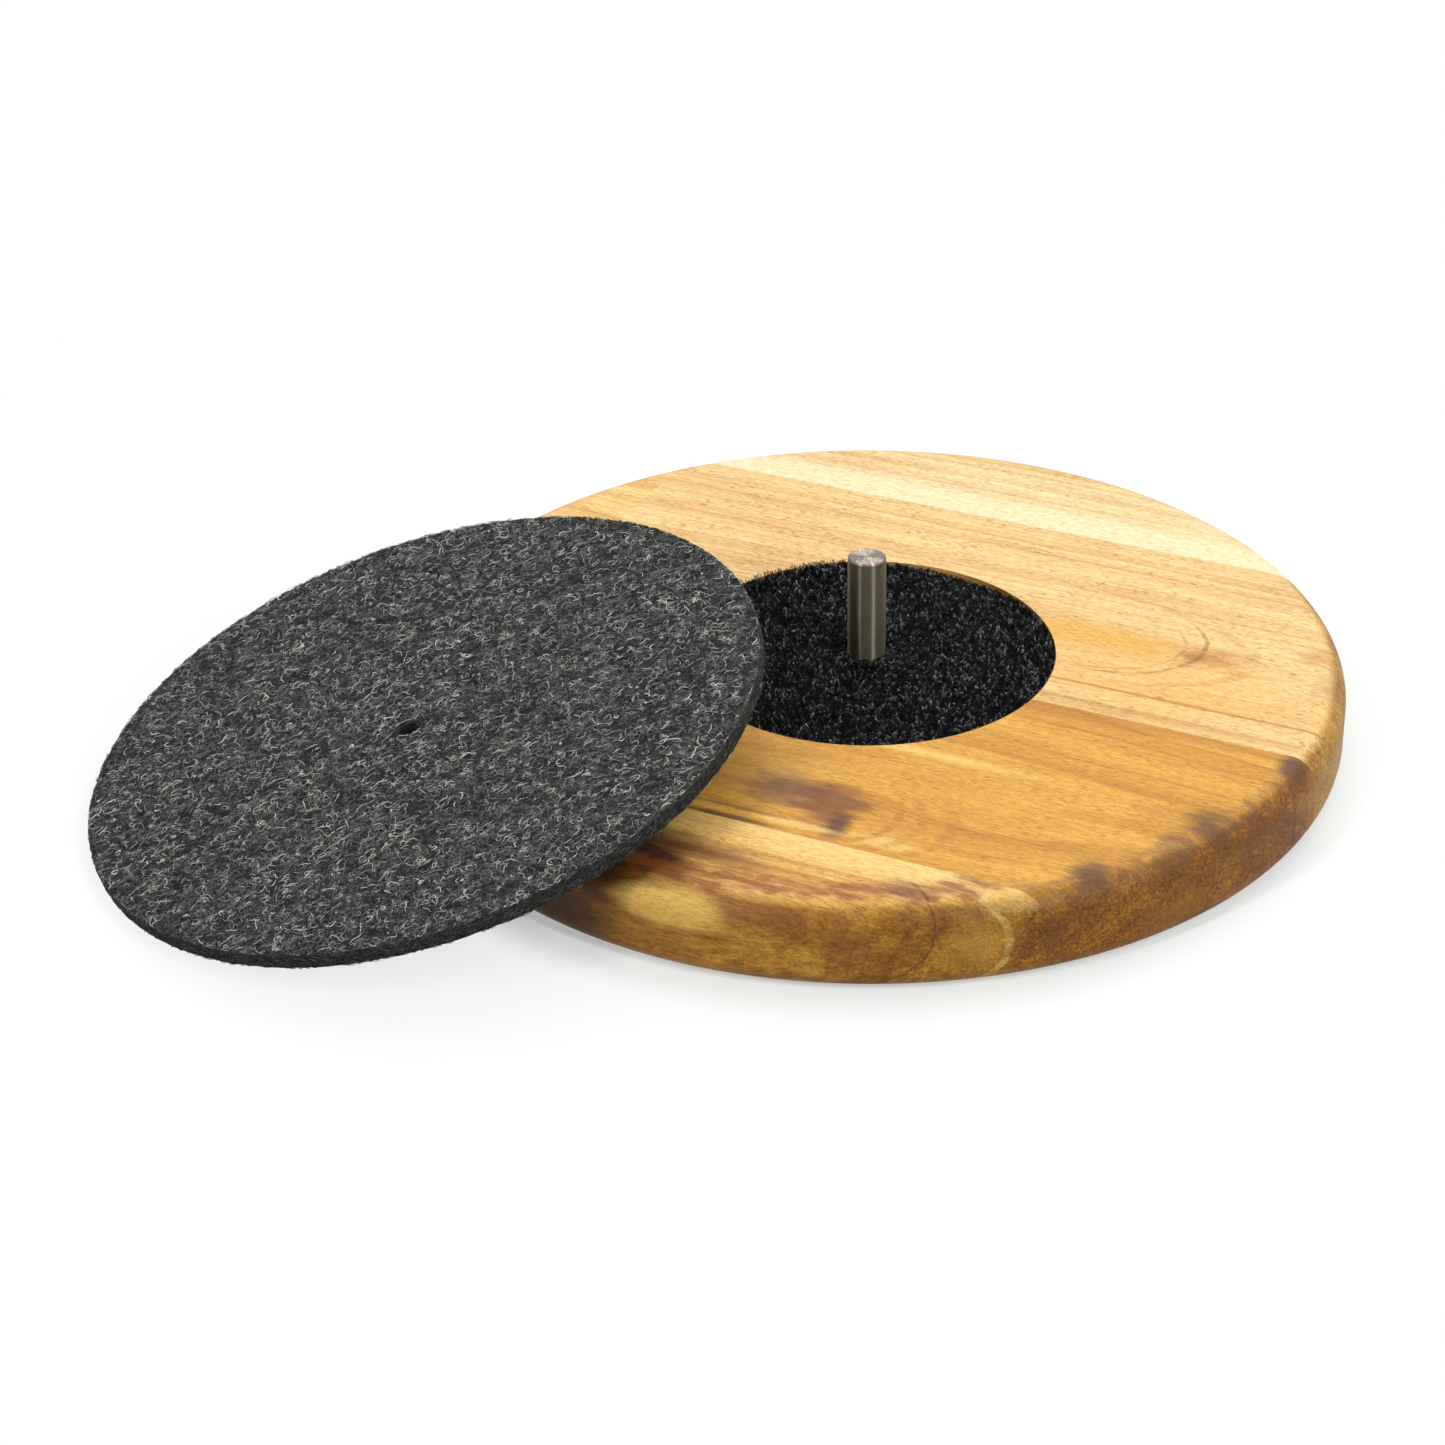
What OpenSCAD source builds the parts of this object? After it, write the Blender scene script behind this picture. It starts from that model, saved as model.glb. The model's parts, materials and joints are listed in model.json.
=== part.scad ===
// Round edge-glued wooden wheel with an upright steel spindle, a loop pad let
// into its face and a loose felt disc that leans on its rim.
// Millimetres, +Z up. The origin is on the spindle's axis, in the plane of the
// wheel's underside.

/* [Board] */
// Diameter of the wooden wheel
board_d = 200; // [150:1:300]
// Thickness of the wooden wheel
board_h = 18.5; // [14:0.5:30]
// Radius of the rolled upper edge
top_round = 5.5; // [2:0.5:7]
// Radius of the rolled lower edge
bottom_round = 5; // [2:0.5:7]
// Direction of the wood's grain, seen from above
grain_angle = -26.5; // [-90:0.5:90]

/* [Glue lines] */
// Distance from the centre to the glue line of the back stave
back_glue_line = 67; // [45:0.5:72]
// Distance from the centre to the glue line that runs beside the spindle
middle_glue_line = -5.5; // [-20:0.5:20]
// Distance from the centre to the glue line of the front stave
front_glue_line = -72.5; // [-73:0.5:-45]
// Distance along the grain to the butt joint in the second stave
butt_joint = -75; // [-80:0.5:-45]

/* [Spindle] */
// Diameter of the spindle
spindle_d = 8; // [6:0.5:16]
// Height of the spindle above the face of the wheel
spindle_reach = 22; // [10:0.5:60]
// Chamfer round the spindle's top
spindle_chamfer = 0.3; // [0.1:0.1:1]
// Width of the shoulder that the spindle stands on
spindle_shoulder = 0.75; // [0.5:0.25:1.5]
// Lead-in chamfer at the foot of the spindle's shank
shank_lead = 0.8; // [0.2:0.1:1]
// Glue gap all round the shank
glue_gap = 0.1; // [0.05:0.05:0.3]
// Wood left under the spindle's socket
socket_floor = 4; // [2:0.5:6]

/* [Loop pad] */
// Diameter of the round recess that the pad lies in
recess_d = 79.5; // [60:0.5:100]
// Depth of the recess
recess_depth = 2.5; // [1.5:0.1:4]
// Gap between the pad and the wall of the recess
pad_gap = 0.3; // [0.2:0.1:1]
// Gap between the pad and the spindle
pad_hole_gap = 0.8; // [0.7:0.1:3]
// Thickness of the adhesive film under the pad
film_t = 0.3; // [0.2:0.1:0.6]
// How far the tips of the pile stay below the face of the wheel
pile_drop = 0.4; // [0:0.1:0.6]

/* [Felt disc] */
// Diameter of the felt disc
felt_d = 142; // [110:1:175]
// Thickness of the felt
felt_t = 3.2; // [2:0.2:6]
// Diameter of the hole punched in the felt
felt_hole_d = 5; // [3:0.5:10]
// How far the hole sits from the felt's centre, downhill and sideways
felt_hole_offset = [3, 0.8]; // [-5:0.1:5]
// Distance from the wheel's edge to the point where the felt meets the table
felt_foot_out = 64.5; // [50:0.5:80]
// Direction in which the felt slopes down, seen from above
felt_azimuth = 199; // [0:1:359]
// Gap between the felt and the rolled edge that it leans on
felt_gap = 0.4; // [0.3:0.1:1]

/* [Hidden] */
$fn = 128;
board_r = board_d / 2;
spindle_r = spindle_d / 2;
shank_r = spindle_r - spindle_shoulder;
recess_z = board_h - recess_depth;
spindle_top = board_h + spindle_reach;
pad_r = recess_d / 2 - pad_gap;
pad_hole_r = spindle_r + pad_hole_gap;
pile_z = recess_z + film_t;
pile_h = recess_depth - film_t - pile_drop;
felt_r = felt_d / 2;

// The felt's underside is a plane that meets the table at its foot and is
// tangent to a circle felt_gap outside the rolled upper edge: foot_run and
// foot_rise lead from the foot to that circle's centre.
foot_s = board_r + felt_foot_out;
foot_run = felt_foot_out + top_round;
foot_rise = board_h - top_round;
foot_reach = sqrt(foot_run * foot_run + foot_rise * foot_rise);
felt_lean = atan2(foot_rise, foot_run) + asin((top_round + felt_gap) / foot_reach);

// Distance that is clear of everything, for cutting tools
beyond = 2 * board_d;
// How far a cutting tool runs past the face that it leaves through
past = 1;

// Half of the wheel's section: a flat slab whose two edges roll over in arcs.
module board_section() {
    square([board_r - bottom_round, bottom_round]);
    translate([board_r - bottom_round, bottom_round])
        circle(bottom_round);
    translate([0, bottom_round])
        square([board_r, board_h - top_round - bottom_round]);
    translate([0, board_h - top_round])
        square([board_r - top_round, top_round]);
    translate([board_r - top_round, board_h - top_round])
        circle(top_round);
}

// The turned wheel in one piece, with the pad's recess and the spindle's socket.
module board_blank() {
    difference() {
        rotate_extrude()
            board_section();
        translate([0, 0, recess_z])
            cylinder(h = recess_depth + past, d = recess_d);
        translate([0, 0, socket_floor])
            cylinder(h = board_h, r = shank_r + glue_gap);
    }
}

// One stave: the wheel between two glue lines, and between two ends along the grain.
module stave(v_from, v_to, u_from = -beyond, u_to = beyond) {
    intersection() {
        board_blank();
        rotate([0, 0, grain_angle])
            translate([u_from, v_from, -past])
                cube([u_to - u_from, v_to - v_from, board_h + 2 * past]);
    }
}

module back_stave() {
    color("wheat")
        stave(back_glue_line, beyond);
}

module second_stave() {
    color("sandybrown")
        stave(middle_glue_line, back_glue_line, u_from = butt_joint);
}

module second_stave_end() {
    color("burlywood")
        stave(middle_glue_line, back_glue_line, u_to = butt_joint);
}

module knot_stave() {
    color("peru")
        stave(front_glue_line, middle_glue_line);
}

module front_stave() {
    color("chocolate")
        stave(-beyond, front_glue_line);
}

// Turned pin: a glued shank, a shoulder that seats on the floor of the recess,
// and the free end with its chamfer.
module spindle() {
    color("silver")
        rotate_extrude()
            polygon([
                [0, socket_floor],
                [shank_r - shank_lead, socket_floor],
                [shank_r, socket_floor + shank_lead],
                [shank_r, recess_z],
                [spindle_r, recess_z],
                [spindle_r, spindle_top - spindle_chamfer],
                [spindle_r - spindle_chamfer, spindle_top],
                [0, spindle_top]
            ]);
}

// A flat ring round the spindle, filling the recess from z upwards.
module pad_layer(z, h) {
    translate([0, 0, z])
        difference() {
            cylinder(h = h, r = pad_r);
            translate([0, 0, -past])
                cylinder(h = h + 2 * past, r = pad_hole_r);
        }
}

module pad_adhesive() {
    color("lightgray")
        pad_layer(recess_z, film_t);
}

module loop_pad() {
    color([0.08, 0.08, 0.08])
        pad_layer(pile_z, pile_h);
}

// Die-cut disc, lying flat with its foot at the origin, then leant on the rim.
module felt_disc() {
    color("dimgray")
        rotate([0, 0, felt_azimuth])
            translate([foot_s, 0, 0])
                rotate([0, felt_lean, 0])
                    translate([-felt_r, 0, 0])
                        difference() {
                            cylinder(h = felt_t, r = felt_r);
                            translate([felt_hole_offset[0], felt_hole_offset[1], -past])
                                cylinder(h = felt_t + 2 * past, d = felt_hole_d);
                        }
}

back_stave();
second_stave();
second_stave_end();
knot_stave();
front_stave();
spindle();
pad_adhesive();
loop_pad();
felt_disc();
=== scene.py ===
"""Felt polishing wheel: a turned wooden wheel with a spindle, a loop pad and a loose felt disc.

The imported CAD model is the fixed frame. Each operator below finishes one piece or a group of like
pieces, and the panel in the sidebar lists them in the order in which they run.
"""

import json
import math

import bpy
import numpy as np
from mathutils import Matrix, Vector


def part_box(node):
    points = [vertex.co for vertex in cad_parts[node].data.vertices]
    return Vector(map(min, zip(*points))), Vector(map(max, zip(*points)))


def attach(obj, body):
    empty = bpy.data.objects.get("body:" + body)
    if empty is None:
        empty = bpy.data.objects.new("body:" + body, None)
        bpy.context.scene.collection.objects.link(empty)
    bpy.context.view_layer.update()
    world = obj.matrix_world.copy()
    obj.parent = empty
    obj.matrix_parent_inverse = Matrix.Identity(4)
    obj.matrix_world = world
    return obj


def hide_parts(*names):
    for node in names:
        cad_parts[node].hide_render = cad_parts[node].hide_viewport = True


bl_info = {
    "name": "Felt Polishing Wheel",
    "version": (1, 0, 0),
    "blender": (4, 5, 0),
    "location": "3D View > Sidebar > Polishing Wheel",
    "description": "Finishes a wooden polishing wheel with its spindle, loop pad and felt disc",
    "category": "Object",
}

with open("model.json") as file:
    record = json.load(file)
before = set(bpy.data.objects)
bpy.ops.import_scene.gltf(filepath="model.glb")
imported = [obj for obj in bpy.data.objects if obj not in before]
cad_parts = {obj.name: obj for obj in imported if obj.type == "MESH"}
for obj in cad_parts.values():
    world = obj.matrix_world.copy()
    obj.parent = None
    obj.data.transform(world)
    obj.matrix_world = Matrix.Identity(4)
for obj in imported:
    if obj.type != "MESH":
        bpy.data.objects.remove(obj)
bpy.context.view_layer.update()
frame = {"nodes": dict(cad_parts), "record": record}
MM = 0.001


def srgb(red, green, blue):
    """A colour given as on screen, from 0 to 255, as the linear values that shaders take."""
    channels = (red / 255, green / 255, blue / 255)
    return tuple(c / 12.92 if c <= 0.04045 else ((c + 0.055) / 1.055) ** 2.4 for c in channels)


def mount(name):
    """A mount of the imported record."""
    return next(m for m in frame["record"]["mounts"] if m["name"] == name)


# ---- Sizes and colours ----


def colour_setting(name, description, default):
    """A colour that the panel shows."""
    return bpy.props.FloatVectorProperty(
        name=name, description=description, default=default, subtype="COLOR", size=3, min=0, max=1
    )


def length_setting(name, description, millimetres):
    """A length that the panel shows, given in millimetres."""
    return bpy.props.FloatProperty(
        name=name, description=description, default=millimetres * MM, unit="LENGTH", min=0, precision=5
    )


def angle_setting(name, description, degrees):
    """An angle that the panel shows, given in degrees."""
    return bpy.props.FloatProperty(
        name=name, description=description, default=math.radians(degrees), subtype="ANGLE"
    )


def share_setting(name, description, default):
    """A share from 0 to 1 that the panel shows."""
    return bpy.props.FloatProperty(name=name, description=description, default=default, min=0, max=1)


def count_setting(name, description, default, least=0):
    """A whole number that the panel shows."""
    return bpy.props.IntProperty(name=name, description=description, default=default, min=least)


class WheelTimber(bpy.types.PropertyGroup):
    """The wood of the staves."""

    grain_angle: angle_setting("Grain Angle", "Direction of the grain, seen from above", -26.5)
    cream: colour_setting("Cream", "Sapwood beside a glue line", srgb(255, 238, 198))
    honey: colour_setting("Honey", "Pale wood between the growth lines", srgb(253, 220, 160))
    amber: colour_setting("Amber", "Warm wood of the knotted stave", srgb(235, 178, 72))
    line: colour_setting("Growth Line", "Latewood in a growth line", srgb(182, 118, 42))
    russet: colour_setting("Russet", "Reddish heartwood", srgb(122, 66, 34))
    knot: colour_setting("Knot", "Dark wood of the knot", srgb(96, 62, 54))
    umber: colour_setting("Umber", "Dark blotches on the rim", srgb(84, 50, 32))
    roughness: share_setting("Roughness", "Roughness of the oiled surface", 0.5)


class WheelSteel(bpy.types.PropertyGroup):
    """The steel of the spindle."""

    # Painted shade: the steel is set darker than bare steel, standing in for the dark surroundings that it
    # reflects.
    shaded_steel: colour_setting("Steel", "Colour of the bare steel", srgb(112, 108, 94))
    roughness: share_setting("Roughness", "Roughness of the drawn surface", 0.4)


class WheelPad(bpy.types.PropertyGroup):
    """The loop pad let into the face of the wheel."""

    pile: colour_setting("Pile", "Colour of the brightest loops", srgb(196, 194, 196))
    pile_height: length_setting("Pile Height", "Height of the pile above its ground", 1.1)
    loops: count_setting("Loops", "Number of loops in each part of the pile", 5400, least=100)
    parts: count_setting("Parts", "Number of parts that the pile is made in", 3, least=1)
    loop_width: length_setting("Loop Width", "Width of one loop at its foot", 0.65)
    thread: length_setting("Thread", "Thickness of the thread of a loop", 0.14)
    seed: count_setting("Seed", "Start of the random layout", 7)


class WheelFelt(bpy.types.PropertyGroup):
    """The loose felt disc."""

    ground: colour_setting("Ground", "Dark wool of the melange", srgb(27, 26, 25))
    pale: colour_setting("Pale Fibre", "Light wool of the melange", srgb(252, 249, 244))
    cut: colour_setting("Cut Edge", "Darker wool in the cut edge", srgb(24, 24, 24))
    diameter: length_setting("Diameter", "Diameter of the disc", 142)
    thickness: length_setting("Thickness", "Thickness of the felt", 3.2)
    fibres: count_setting("Fibres", "Number of fibres in each part of the nap", 5300, least=100)
    parts: count_setting("Parts", "Number of parts that the nap of the upper face is made in", 5, least=1)
    fibre: length_setting("Fibre", "Thickness of one fibre", 0.13)
    hole_strands: count_setting("Hole Strands", "Number of strands over the edge of the hole", 16)
    seed: count_setting("Seed", "Start of the random layout", 19)


class WheelStage(bpy.types.PropertyGroup):
    """The floor, the lamps and the camera."""

    focal_length: bpy.props.FloatProperty(
        name="Focal Length", description="Focal length on a 36 mm sensor", default=84.03, min=1
    )
    distance: length_setting("Distance", "Distance from the camera to its aim", 721.7)
    aim: bpy.props.FloatVectorProperty(
        name="Aim",
        description="Point that the camera looks at",
        default=(-30.65 * MM, 2.15 * MM, 0),
        subtype="TRANSLATION",
        unit="LENGTH",
        precision=5,
    )
    elevation: angle_setting("Elevation", "Height angle of the camera", 30.4)
    roll: angle_setting("Roll", "Turn of the camera about its view", -1.175)


SETTINGS = {
    "wheel_timber": WheelTimber,
    "wheel_steel": WheelSteel,
    "wheel_pad": WheelPad,
    "wheel_felt": WheelFelt,
    "wheel_stage": WheelStage,
}

# ---- Shader helpers and shared node groups ----

SOCKETS = {
    "value": "NodeSocketFloat",
    "colour": "NodeSocketColor",
    "vector": "NodeSocketVector",
}


class Graph:
    """Places and joins the nodes of one node tree."""

    def __init__(self, tree):
        self.tree = tree

    def node(self, kind, inputs=(), **settings):
        """Adds a node. A value in inputs is set on its socket, and a socket is linked to it."""
        added = self.tree.nodes.new("ShaderNode" + kind)
        for key, value in settings.items():
            setattr(added, key, value)
        for key, value in dict(inputs).items():
            self.feed(added.inputs[key], value)
        return added

    def feed(self, socket, value):
        if isinstance(value, bpy.types.NodeSocket):
            self.tree.links.new(value, socket)
        elif socket.type == "RGBA" and len(value) == 3:
            socket.default_value = (*value, 1)
        else:
            socket.default_value = value

    def maths(self, operation, *values, clamp=False):
        return self.node("Math", enumerate(values), operation=operation, use_clamp=clamp).outputs[0]

    def vectors(self, operation, *values):
        added = self.node("VectorMath", operation=operation)
        for socket, value in zip(added.inputs, values):
            self.feed(socket, value)
        return added.outputs["Value" if operation in ("LENGTH", "DISTANCE", "DOT_PRODUCT") else "Vector"]

    def mix(self, factor, first, second, blend="MIX"):
        added = self.node("Mix", data_type="RGBA", blend_type=blend, clamp_factor=True)
        for index, value in ((0, factor), (6, first), (7, second)):
            self.feed(added.inputs[index], value)
        return added.outputs[2]

    def ramp(self, value, low, high, start=0.0, end=1.0):
        """value taken smoothly from the span low to high to the span start to end."""
        spans = {"Value": value, "From Min": low, "From Max": high, "To Min": start, "To Max": end}
        return self.node("MapRange", spans, interpolation_type="SMOOTHSTEP").outputs["Result"]

    def noise(self, vector, scale, detail=2.0, roughness=0.5, distortion=0.0):
        inputs = {
            "Vector": vector,
            "Scale": scale,
            "Detail": detail,
            "Roughness": roughness,
            "Distortion": distortion,
        }
        return self.node("TexNoise", inputs).outputs["Fac"]

    def patches(self, place, factors, low, high, detail=2.0, roughness=0.5):
        """Patches of noise with factors for how fine it is on each axis: 0 below low, 1 above high."""
        noise = self.noise(self.stretched(place, factors), 1.0, detail, roughness)
        return self.ramp(noise, low, high)

    def lay(self, shade, mask, strength, tint, blend="MIX"):
        """Lays a tint over a shade where a mask is set."""
        return self.mix(self.maths("MULTIPLY", mask, strength), shade, tint, blend)

    def noise_along(self, value, scale, detail=2.0):
        """Noise in one dimension, for bands of uneven width."""
        inputs = {"W": value, "Scale": scale, "Detail": detail}
        return self.node("TexNoise", inputs, noise_dimensions="1D").outputs["Fac"]

    def part(self, vector, axis):
        """The X, Y or Z of a vector."""
        return self.node("SeparateXYZ", {"Vector": vector}).outputs[axis]

    def stretched(self, vector, factors):
        return self.vectors("MULTIPLY", vector, factors)

    def offset(self, given):
        """How far a group's place lies from its centre, with its radii as the measure."""
        apart = self.vectors("SUBTRACT", given["Place"], given["Centre"])
        return self.vectors("DIVIDE", apart, given["Radii"])

    def bump(self, height, strength, distance):
        inputs = {"Height": height, "Strength": strength, "Distance": distance}
        return self.node("Bump", inputs).outputs["Normal"]


def new_group(name, takes, gives):
    """An empty shader node group, its graph, its input node and its output node."""
    tree = bpy.data.node_groups.new(name, "ShaderNodeTree")
    for socket, kind, default in takes:
        added = tree.interface.new_socket(socket, in_out="INPUT", socket_type=SOCKETS[kind])
        added.default_value = (*default, 1) if kind == "colour" else default
    for socket, kind in gives:
        tree.interface.new_socket(socket, in_out="OUTPUT", socket_type=SOCKETS[kind])
    graph = Graph(tree)
    return graph, tree.nodes.new("NodeGroupInput").outputs, tree.nodes.new("NodeGroupOutput").inputs


def use_group(graph, name, **inputs):
    """Places a shared group. A keyword such as ring_width feeds the input named Ring Width."""
    added = graph.node("Group", node_tree=bpy.data.node_groups[name])
    for key, value in inputs.items():
        graph.feed(added.inputs[key.replace("_", " ").title()], value)
    return added.outputs


def build_stain():
    """A soft ellipsoid with a ragged edge, for stains, knots and sapwood."""
    graph, given, gives = new_group(
        "Stain",
        [
            ("Place", "vector", (0, 0, 0)),
            ("Centre", "vector", (0, 0, 0)),
            ("Radii", "vector", (1, 1, 1)),
            ("Softness", "value", 0.5),
            ("Raggedness", "value", 0.3),
            ("Grit", "value", 0.25),
        ],
        [("Mask", "value")],
    )
    reach = graph.vectors("LENGTH", graph.offset(given))
    along = graph.stretched(given["Place"], (0.4, 1.3, 1.3))
    ragged = graph.maths("SUBTRACT", graph.noise(along, given["Grit"], 3, 0.5), 0.5)
    reach = graph.maths("MULTIPLY_ADD", ragged, given["Raggedness"], reach)
    inner = graph.maths("SUBTRACT", 1.0, given["Softness"])
    graph.feed(gives["Mask"], graph.ramp(reach, inner, 1.0, 1.0, 0.0))


def build_growth_mark():
    """A thin uneven line where an ellipsoid meets the surface, for one growth ring or a crack."""
    graph, given, gives = new_group(
        "Growth Mark",
        [
            ("Place", "vector", (0, 0, 0)),
            ("Centre", "vector", (0, 0, 0)),
            ("Radii", "vector", (1, 1, 1)),
            ("Width", "value", 0.05),
            ("Side", "vector", (1, 0, 0)),
        ],
        [("Mask", "value")],
    )
    offset = graph.offset(given)
    wander = graph.maths("SUBTRACT", graph.noise(given["Place"], 0.2, 3, 0.6), 0.5)
    reach = graph.maths("MULTIPLY_ADD", wander, 0.1, graph.vectors("LENGTH", offset))
    gap = graph.maths("ABSOLUTE", graph.maths("SUBTRACT", reach, 1.0))
    line = graph.maths("DIVIDE", gap, given["Width"])
    along = graph.stretched(given["Place"], (0.2, 0.8, 0.8))
    broken = graph.ramp(graph.noise(along, 0.7, 2, 0.5), 0.36, 0.6, 0.3, 1.0)
    mask = graph.maths("MULTIPLY", graph.ramp(line, 0.3, 1.0, 1.0, 0.0), broken)
    lies = graph.vectors("DOT_PRODUCT", graph.vectors("NORMALIZE", offset), given["Side"])
    graph.feed(gives["Mask"], graph.maths("MULTIPLY", mask, graph.ramp(lies, 0.1, 0.7)))


def build_knot_flow():
    """Pushes the growth lines aside round a knot."""
    graph, given, gives = new_group(
        "Knot Flow",
        [
            ("Place", "vector", (0, 0, 0)),
            ("Centre", "vector", (0, 0, 0)),
            ("Reach", "vector", (1, 1, 1)),
            ("Push", "value", 0.7),
        ],
        [("Place", "vector")],
    )
    offset = graph.vectors("SUBTRACT", given["Place"], given["Centre"])
    reach = graph.vectors("LENGTH", graph.vectors("DIVIDE", offset, given["Reach"]))
    pull = graph.maths("EXPONENT", graph.maths("MULTIPLY", graph.maths("MULTIPLY", reach, reach), -1.0))
    pull = graph.maths("MULTIPLY", pull, given["Push"])
    aside = graph.maths("MULTIPLY", graph.maths("MULTIPLY", graph.part(offset, "Y"), pull), -1.0)
    shift = graph.node("CombineXYZ", {"Y": aside})
    graph.feed(gives["Place"], graph.vectors("ADD", given["Place"], shift.outputs["Vector"]))


def build_timber():
    """Growth rings about a pith, fibre streaks, pores and painted shade on the rim. X runs along the grain,
    in millimetres.
    """
    graph, given, gives = new_group(
        "Timber",
        [
            ("Place", "vector", (0, 0, 0)),
            ("Facing", "vector", (0, 0, 1)),
            ("Pale", "colour", (0.8, 0.6, 0.3)),
            ("Dark", "colour", (0.5, 0.3, 0.1)),
            ("Pith", "vector", (0, 0, 0)),
            ("Pith Rise", "value", 0.0),
            ("Ring Width", "value", 4.0),
            ("Waviness", "value", 5.0),
            ("Contrast", "value", 0.6),
            ("Pores", "value", 0.5),
            ("End Grain", "value", 0.5),
        ],
        [("Colour", "colour"), ("Roughness", "value"), ("Height", "value")],
    )
    place = given["Place"]
    drift = graph.node(
        "TexNoise", {"Vector": graph.stretched(place, (0.012, 0.045, 0.045)), "Scale": 1.0, "Detail": 2.0}
    ).outputs["Color"]
    sway = graph.vectors("SCALE", graph.vectors("SUBTRACT", drift, (0.5, 0.5, 0.5)))
    graph.feed(sway.node.inputs["Scale"], given["Waviness"])
    swayed = graph.vectors("SUBTRACT", graph.vectors("ADD", place, sway), given["Pith"])
    parts = graph.node("SeparateXYZ", {"Vector": swayed}).outputs
    depth = graph.maths("MULTIPLY_ADD", parts["X"], given["Pith Rise"], parts["Z"])
    across = graph.maths("MULTIPLY", parts["Y"], parts["Y"])
    radius = graph.maths("SQRT", graph.maths("MULTIPLY_ADD", depth, depth, across))
    rings = graph.maths("DIVIDE", radius, given["Ring Width"])
    bands = graph.ramp(graph.noise_along(rings, 1.0, 1), 0.4, 0.62)
    lines = graph.ramp(graph.noise_along(rings, 3.7, 2), 0.52, 0.7)
    fibre = graph.patches(place, (0.03, 1.5, 1.5), 0.38, 0.66, 4, 0.7)
    cloud = graph.patches(place, (0.016, 0.05, 0.05), 0.38, 0.66)
    tone = graph.maths("MULTIPLY", bands, 0.36)
    tone = graph.maths("MULTIPLY_ADD", lines, 0.34, tone)
    tone = graph.maths("MULTIPLY_ADD", fibre, 0.36, tone)
    tone = graph.maths("MULTIPLY_ADD", cloud, 0.2, tone)
    tone = graph.maths("MULTIPLY", tone, given["Contrast"], clamp=True)
    shade = graph.mix(tone, given["Pale"], given["Dark"])

    # Pores are short dark dashes that come and go along the grain.
    pore = graph.patches(place, (0.5, 3.4, 3.4), 0.57, 0.64, 1)
    speck = graph.patches(place, (0.1, 0.3, 0.3), 0.38, 0.6, 1)
    pore = graph.maths("MULTIPLY", pore, speck)
    shade = graph.lay(shade, pore, given["Pores"], srgb(136, 78, 26))

    # Painted shade: the rim is darker than the faces wherever it faces sideways; where it cuts the grain it
    # is darker and rougher still, as real end grain is.
    along = graph.maths("ABSOLUTE", graph.part(given["Facing"], "X"))
    level = graph.maths("ABSOLUTE", graph.part(given["Facing"], "Z"))
    side = graph.ramp(level, 0.72, 0.985, 0.8, 0.0)
    # end holds the painted shade of the rim together with the real darkening of end grain.
    end = graph.maths("ADD", side, graph.ramp(along, 0.1, 0.9, 0.0, 0.45), clamp=True)
    end = graph.maths("MULTIPLY", end, given["End Grain"])
    blotch = graph.patches(place, (0.07, 0.09, 0.12), 0.38, 0.64, 3, 0.65)
    shade = graph.mix(end, shade, srgb(216, 200, 112), "MULTIPLY")
    shade = graph.lay(shade, end, blotch, srgb(198, 178, 114), "MULTIPLY")
    streak = graph.patches(place, (0.06, 0.9, 0.9), 0.36, 0.64, 4, 0.75)
    streaked = graph.maths("MULTIPLY", side, given["End Grain"])
    shade = graph.lay(shade, streak, streaked, srgb(206, 184, 140), "MULTIPLY")
    grit = graph.patches(place, (1.0, 1.9, 1.9), 0.4, 0.58, 2, 0.7)
    gritty = graph.maths("MULTIPLY", end, graph.ramp(along, 0.3, 0.8, 0.35, 0.9))
    shade = graph.lay(shade, grit, gritty, srgb(158, 142, 94), "MULTIPLY")

    graph.feed(gives["Colour"], shade)
    graph.feed(gives["Roughness"], graph.maths("MULTIPLY", tone, 0.12))
    height = graph.maths("MULTIPLY_ADD", pore, -1.0, graph.maths("MULTIPLY", fibre, -0.35))
    graph.feed(gives["Height"], height)


def build_curls():
    """Curly lines where a noise passes through its middle, as of wool fibres seen from above."""
    graph, given, gives = new_group(
        "Curls",
        [
            ("Place", "vector", (0, 0, 0)),
            ("Scale", "value", 1.0),
            ("Width", "value", 0.03),
            ("Curl", "value", 1.0),
        ],
        [("Mask", "value")],
    )
    wander = graph.noise(given["Place"], given["Scale"], 1, 0.5, given["Curl"])
    off = graph.maths("ABSOLUTE", graph.maths("SUBTRACT", wander, 0.5))
    graph.feed(gives["Mask"], graph.ramp(off, 0.0, given["Width"], 1.0, 0.0))


def build_groups():
    build_stain()
    build_growth_mark()
    build_knot_flow()
    build_timber()
    build_curls()


def new_material(name):
    """A material with one Principled shader. Returns it, its graph and the shader."""
    material = bpy.data.materials.new(name)
    material.use_nodes = True
    shader = material.node_tree.nodes["Principled BSDF"]
    return material, Graph(material.node_tree), shader


def millimetres(graph, turn=0.0):
    """Object coordinates in millimetres, turned about Z."""
    given = graph.node("TexCoord").outputs["Object"]
    inputs = {"Vector": given, "Rotation": (0, 0, -turn), "Scale": (1 / MM,) * 3}
    return graph.node("Mapping", inputs).outputs["Vector"]


def facing(graph, turn=0.0):
    """The direction that the surface faces, turned about Z."""
    given = graph.node("TexCoord").outputs["Normal"]
    inputs = {"Vector": given, "Rotation": (0, 0, -turn)}
    return graph.node("Mapping", inputs, vector_type="NORMAL").outputs["Vector"]


def paint(node, material):
    """Gives a CAD node one material."""
    mesh = frame["nodes"][node].data
    mesh.materials.clear()
    mesh.materials.append(material)


# ---- Wooden staves ----

# Places on the wood are (along the grain, across it, up) in millimetres from the spindle's foot.
# A stain is its centre, its radii, its colour, its strength, its softness and its raggedness.
# A mark is its centre, its radii, the side of it that shows, its colour, its strength and its
# width as a share of the radii.


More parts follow.
